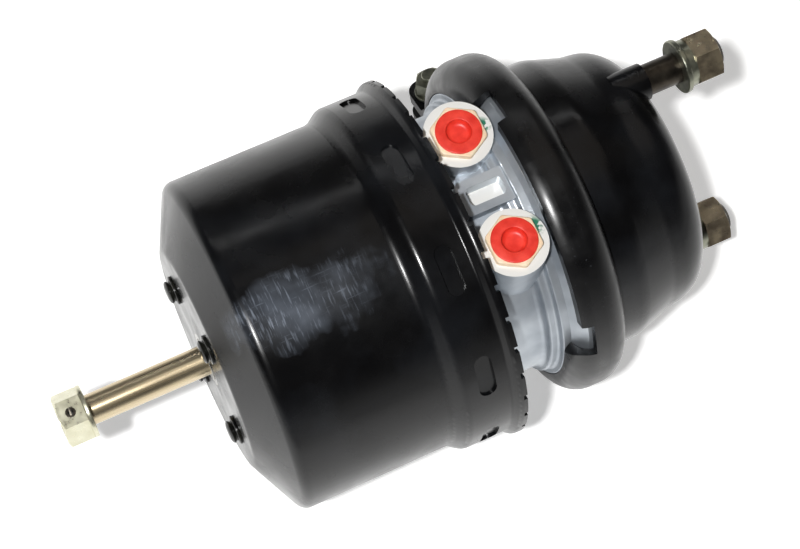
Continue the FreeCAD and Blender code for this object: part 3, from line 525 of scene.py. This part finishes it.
def passivated_zinc(name, light, dark, roughness, turning=False):
    """Zinc plate, passivated: a thin uneven film over fine marks, drawn along the axis on a turned bolt."""
    made, tree, shader, place = begun(name)
    if turning:
        place = add(tree, "Mapping", "Vector", {"Vector": place, "Scale": (0.04, 1.0, 1.0)})
    film = add(tree, "TexNoise", "Fac", {"Vector": place, "Scale": per(7.0), "Detail": 4.0})
    film = add(tree, "MapRange", "Result", {"Value": film, "From Min": 0.35, "From Max": 0.65})
    tone = add(tree, "Mix", 2, {0: film, 6: linear(light), 7: linear(dark)}, data_type="RGBA")
    rough = add(tree, "TexNoise", "Fac", {"Vector": place, "Scale": per(3.0), "Detail": 3.0})
    rough = add(tree, "MapRange", "Result", {"Value": rough, "From Min": 0.3, "From Max": 0.7,
                                             "To Min": roughness - 0.05, "To Max": roughness + 0.06})
    marks = add(tree, "TexNoise", "Fac", {"Vector": place, "Scale": per(0.9), "Detail": 2.0})
    depth = 0.004 if turning else 0.012
    relief = add(tree, "Bump", "Normal", {"Height": marks, "Distance": depth * mm})
    feed(tree, shader, {"Metallic": 0.9, "Base Color": tone, "Roughness": rough, "Normal": relief})
    return made


def rolled_thread():
    """Dark oiled steel with a rolled thread: mottled brown, ringed beyond the stud's plain shank."""
    made, tree, shader, place = begun("dark oiled stud steel")
    cloud = add(tree, "TexNoise", "Fac", {"Vector": place, "Scale": per(6.0), "Detail": 4.0})
    cloud = add(tree, "MapRange", "Result", {"Value": cloud, "From Min": 0.3, "From Max": 0.7})
    tone = add(tree, "Mix", 2, {0: cloud, 6: linear("#2a2622"), 7: linear("#4b453c")}, data_type="RGBA")
    # The real pitch is 1.5 mm. The rings are drawn about 3 mm apart so that they show: a wave of scale 1 has
    # 20 rings in tau metres.
    ridges = add(tree, "TexWave", "Fac", {"Vector": place, "Scale": per(1.5) / math.tau},
                 bands_direction="X", wave_profile="SIN")
    shank_end = 19.0
    along = add(tree, "SeparateXYZ", "X", {"Vector": place})
    threaded = add(tree, "MapRange", "Result", {"Value": along, "From Min": shank_end * mm,
                                                "From Max": (shank_end + 1.0) * mm})
    ridges = add(tree, "Math", 0, {0: ridges, 1: threaded}, operation="MULTIPLY")
    relief = add(tree, "Bump", "Normal", {"Height": ridges, "Distance": 0.5 * mm})
    feed(tree, shader, {"Metallic": 0.85, "Roughness": 0.36, "Base Color": tone, "Normal": relief})
    return made


def moulded_rubber():
    """Moulded rubber: black, smooth and shiny from its mould, with a bloom of grey."""
    made, tree, shader, place = begun("moulded black rubber")
    bloom = add(tree, "TexNoise", "Fac", {"Vector": place, "Scale": per(8.0), "Detail": 4.0})
    bloom = add(tree, "MapRange", "Result", {"Value": bloom, "From Min": 0.4, "From Max": 0.75})
    tone = add(tree, "Mix", 2, {0: bloom, 6: linear("#0b0b0b"), 7: linear("#24241f")}, data_type="RGBA")
    grain = add(tree, "TexNoise", "Fac", {"Vector": place, "Scale": per(1.0), "Detail": 3.0})
    relief = add(tree, "Bump", "Normal", {"Height": grain, "Distance": 0.03 * mm})
    feed(tree, shader, {"Roughness": 0.2, "Base Color": tone, "Normal": relief})
    return made


def turned_steel():
    """Bright turned steel under a film of oil: uneven in its shine, with tool marks round it."""
    made, tree, shader, place = begun("turned steel")
    cloud = add(tree, "TexNoise", "Fac", {"Vector": place, "Scale": per(12.0), "Detail": 3.0})
    tone = add(tree, "Mix", 2, {0: cloud, 6: linear("#8d8c88"), 7: linear("#b7b5b0")}, data_type="RGBA")
    rough = add(tree, "TexNoise", "Fac", {"Vector": place, "Scale": per(5.0), "Detail": 2.0})
    rough = add(tree, "MapRange", "Result", {"Value": rough, "From Min": 0.3, "From Max": 0.7,
                                             "To Min": 0.22, "To Max": 0.34})
    drawn_round = add(tree, "Mapping", "Vector", {"Vector": place, "Scale": (1.0, 0.05, 0.05)})
    marks = add(tree, "TexNoise", "Fac", {"Vector": drawn_round, "Scale": per(0.5), "Detail": 2.0})
    relief = add(tree, "Bump", "Normal", {"Height": marks, "Distance": 0.01 * mm})
    feed(tree, shader, {"Metallic": 1.0, "Base Color": tone, "Roughness": rough, "Normal": relief})
    return made


def spring_wire():
    """Spring wire, shot peened and painted: fine dimples in a dark grey coat."""
    made, tree, shader, place = begun("shot peened spring wire")
    coat = add(tree, "TexNoise", "Fac", {"Vector": place, "Scale": per(10.0), "Detail": 3.0})
    tone = add(tree, "Mix", 2, {0: coat, 6: linear("#23262a"), 7: linear("#3b4046")}, data_type="RGBA")
    dimples = add(tree, "TexNoise", "Fac", {"Vector": place, "Scale": per(0.9), "Detail": 2.0})
    relief = add(tree, "Bump", "Normal", {"Height": dimples, "Distance": 0.05 * mm})
    feed(tree, shader, {"Metallic": 0.3, "Roughness": 0.42, "Base Color": tone, "Normal": relief})
    return made


def bearing_plastic():
    """Brown bearing plastic, slightly mottled."""
    made, tree, shader, place = begun("brown bearing plastic")
    mottle = add(tree, "TexNoise", "Fac", {"Vector": place, "Scale": per(2.0), "Detail": 3.0})
    tone = add(tree, "Mix", 2, {0: mottle, 6: linear("#4c3a26"), 7: linear("#6d5638")}, data_type="RGBA")
    grain = add(tree, "TexNoise", "Fac", {"Vector": place, "Scale": per(0.7), "Detail": 2.0})
    relief = add(tree, "Bump", "Normal", {"Height": grain, "Distance": 0.01 * mm})
    feed(tree, shader, {"Roughness": 0.5, "Base Color": tone, "Normal": relief})
    return made


materials = {made.name: made for made in (
    stoved_enamel(), dipped_enamel(), die_cast_aluminium(),
    polyethylene("red face of moulded polyethylene", "#d92b1e", "#ee4434"),
    # Painted highlight: this cream stands in for the flash glaring on the plug's red hexagon.
    polyethylene("red polyethylene hexagon painted pale as a highlight", "#e9c9a4", "#f3dfc4"),
    passivated_zinc("yellow passivated zinc", "#e3e1ca", "#d6d3b9", 0.3),
    passivated_zinc("olive passivated zinc", "#dccdaf", "#bfae8c", 0.26, turning=True),
    passivated_zinc("clear passivated zinc", "#9fa08e", "#74766a", 0.32),
    passivated_zinc("brown oiled zinc", "#978b74", "#62584a", 0.3),
    rolled_thread(), moulded_rubber(), turned_steel(), spring_wire(), bearing_plastic(),
)}

node_finish = {
    "black stoved enamel on drawn steel": ("spring_housing", "service_housing"),
    "black dip paint on rolled steel": ("clamp_ring",),
    "die cast aluminium": ("flange_body", "parking_piston"),
    "yellow passivated zinc": ("release_nut", "release_collar"),
    "olive passivated zinc": ("release_bolt",),
    "clear passivated zinc": ("stud_washers", "stud_lock_washers", "clamp_bolt", "clamp_nut", "clamp_washer",
                              "gaiter_retainer", "thrust_washer"),
    "brown oiled zinc": ("stud_nuts",),
    "dark oiled stud steel": ("mounting_studs", "release_roll_pin"),
    "moulded black rubber": ("housing_seal", "tube_seals", "piston_seal"),
    "turned steel": ("release_boss", "pressure_plate", "pushrod", "piston_tube", "tube_nose"),
    "brown bearing plastic": ("tube_bush", "piston_guide_band"),
}
for finish, names in node_finish.items():
    for name in names:
        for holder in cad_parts[name].material_slots:
            holder.material = materials[finish]


# Moulded pieces, each modelled once and copied

def stands_for(piece, node):
    """The piece takes the place of a node of the chamber."""
    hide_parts(node)
    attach(piece, "chamber")


parking_plug = plug_piece("parking_port_plug", "parking_plug")
service_plug = copied(parking_plug)
service_plug.name = "service_plug"
moved(service_plug, middle("service_port_plug") - middle("parking_port_plug"))
stands_for(parking_plug, "parking_port_plug")
stands_for(service_plug, "service_port_plug")

vents = [vent_piece()]
vents += [copied(vents[0]) for _ in range(vent_count - 1)]
for index, vent in enumerate(vents):
    vent.name = f"vent_breather_{index + 1}"
    turn = math.radians(vent_turn + 360 * index / vent_count)
    moved(vent, Vector((0, vent_circle * math.sin(turn), vent_circle * math.cos(turn))) * mm)
    stands_for(vent, "vent_plugs")


# Gaiter, springs and diaphragm, drawn in place of their nodes

def shortens(piece):
    """The piece gets a mesh of its own."""
    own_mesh(piece)


gaiter = turned("gaiter_bellows", gaiter_corners())
gaiter.data.materials.append(materials["moulded black rubber"])
stands_for(gaiter, "gaiter")
shortens(gaiter)

return_spring = wound("return_coil", "return_spring", return_wire, return_small_radius, return_large_radius,
                      return_half_turns)
return_spring.data.materials.append(materials["shot peened spring wire"])
stands_for(return_spring, "return_spring")
shortens(return_spring)

power_spring = wound("power_coil", "power_spring", power_wire, power_small_radius, power_large_radius,
                     power_half_turns)
power_spring.data.materials.append(materials["shot peened spring wire"])
stands_for(power_spring, "power_spring")
shortens(power_spring)

diaphragm = turned("diaphragm_rubber", diaphragm_corners())
diaphragm.data.materials.append(materials["moulded black rubber"])
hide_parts("diaphragm")
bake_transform(diaphragm)


# Stage, light and camera

def make_floor():
    """A pale floor just under the part, seen as white and still keeping the shadow."""
    bpy.ops.mesh.primitive_plane_add(size=6.0, location=(0, 0, cad_box[0].z - 0.5 * mm))
    floor = bpy.context.object
    floor.name = "floor"
    made, tree, shader, place = begun("pale floor paper")
    grain = add(tree, "TexNoise", "Fac", {"Vector": place, "Scale": per(40.0), "Detail": 2.0})
    tone = add(tree, "Mix", 2, {0: grain, 6: linear("#f2f2f1"), 7: linear("#f5f5f4")}, data_type="RGBA")
    direct = add(tree, "LightPath", "Is Camera Ray", {})
    mirrored = add(tree, "LightPath", "Is Glossy Ray", {})
    seen = add(tree, "Math", 0, {0: direct, 1: mirrored}, operation="MAXIMUM")
    glow = add(tree, "Math", 0, {0: seen, 1: 0.45}, operation="MULTIPLY")
    feed(tree, shader, {"Roughness": 0.9, "Base Color": tone, "Emission Color": linear("#ffffff"),
                        "Emission Strength": glow})
    floor.data.materials.append(made)


def make_world():
    """A plain room, pale low down on the near side and dim elsewhere, which the black paint mirrors."""
    world = bpy.data.worlds.new("studio")
    bpy.context.scene.world = world
    world.use_nodes = True
    tree = world.node_tree
    tree.nodes.clear()
    way = add(tree, "TexCoord", "Generated", {})
    up = add(tree, "SeparateXYZ", "Z", {"Vector": way})
    back = add(tree, "SeparateXYZ", "Y", {"Vector": way})
    low = add(tree, "MapRange", "Result", {"Value": up, "From Min": 0.35, "From Max": 0.05})
    near = add(tree, "MapRange", "Result", {"Value": back, "From Min": 0.1, "From Max": -0.3, "To Min": 0.12})
    near = add(tree, "Math", 0, {0: low, 1: near}, operation="MULTIPLY")
    below = add(tree, "MapRange", "Result", {"Value": up, "From Min": 0.03, "From Max": -0.01})
    pale = add(tree, "Math", 0, {0: near, 1: below}, operation="MAXIMUM")
    tone = add(tree, "Mix", 2, {0: pale, 6: linear("#191614"), 7: linear("#d2d2d2")}, data_type="RGBA")
    room = add(tree, "Background", 0, {"Color": tone, "Strength": 1.0})
    feed(tree, tree.nodes.new("ShaderNodeOutputWorld"), {"Surface": room})


def make_lamp(name, place, aim, width, height, power, tone):
    """A soft box at a place, looking at its aim."""
    bpy.ops.object.light_add(type="AREA", location=place)
    lamp = bpy.context.object
    lamp.name = name
    lamp.data.shape = "RECTANGLE"
    lamp.data.size = width
    lamp.data.size_y = height
    lamp.data.energy = power
    lamp.data.color = linear(tone)[:3]
    lamp.rotation_mode = "QUATERNION"
    lamp.rotation_quaternion = (Vector(aim) - Vector(place)).to_track_quat("-Z", "Y")


def make_lamps():
    """Each lamp stands some metres from the chamber's middle: a small flash near the camera, a thin tube on the
    far side for the lines along the can, and a wide warm panel over the ports."""
    centre = Vector((-140, 0, 0)) * mm
    for name, towards, distance, width, height, power, tone in (
            ("flash", (-0.30, -0.22, 0.93), 1.75, 0.08, 0.08, 31.0, "#ffffff"),
            ("thin tube", (0.14, 0.735, 0.66), 1.6, 1.6, 0.02, 1.4, "#ffffff"),
            ("ceiling panel", (0.5, 0.3, 1.0), 1.6, 1.2, 1.2, 1.6, "#fff1e2")):
        make_lamp(name, centre + Vector(towards) * distance, centre, width, height, power, tone)


def make_camera():
    """The photograph's view: high over the ports, a little behind and to the left."""
    place = Vector((-342.1, -291.6, 1032.4)) * mm
    aim = Vector((-143.2, 0.3, 0.1)) * mm
    roll = -9.35
    bpy.ops.object.camera_add(location=place)
    camera = bpy.context.object
    camera.data.lens = 97.2
    camera.data.sensor_width = 36.0
    camera.data.clip_end = 50.0
    camera.rotation_mode = "QUATERNION"
    looking = (aim - place).to_track_quat("-Z", "Y")
    camera.rotation_quaternion = Matrix.Rotation(math.radians(roll), 3, aim - place).to_quaternion() @ looking
    bpy.context.scene.camera = camera


make_floor()
make_world()
make_lamps()
make_camera()
bpy.context.scene.view_settings.view_transform = "Standard"
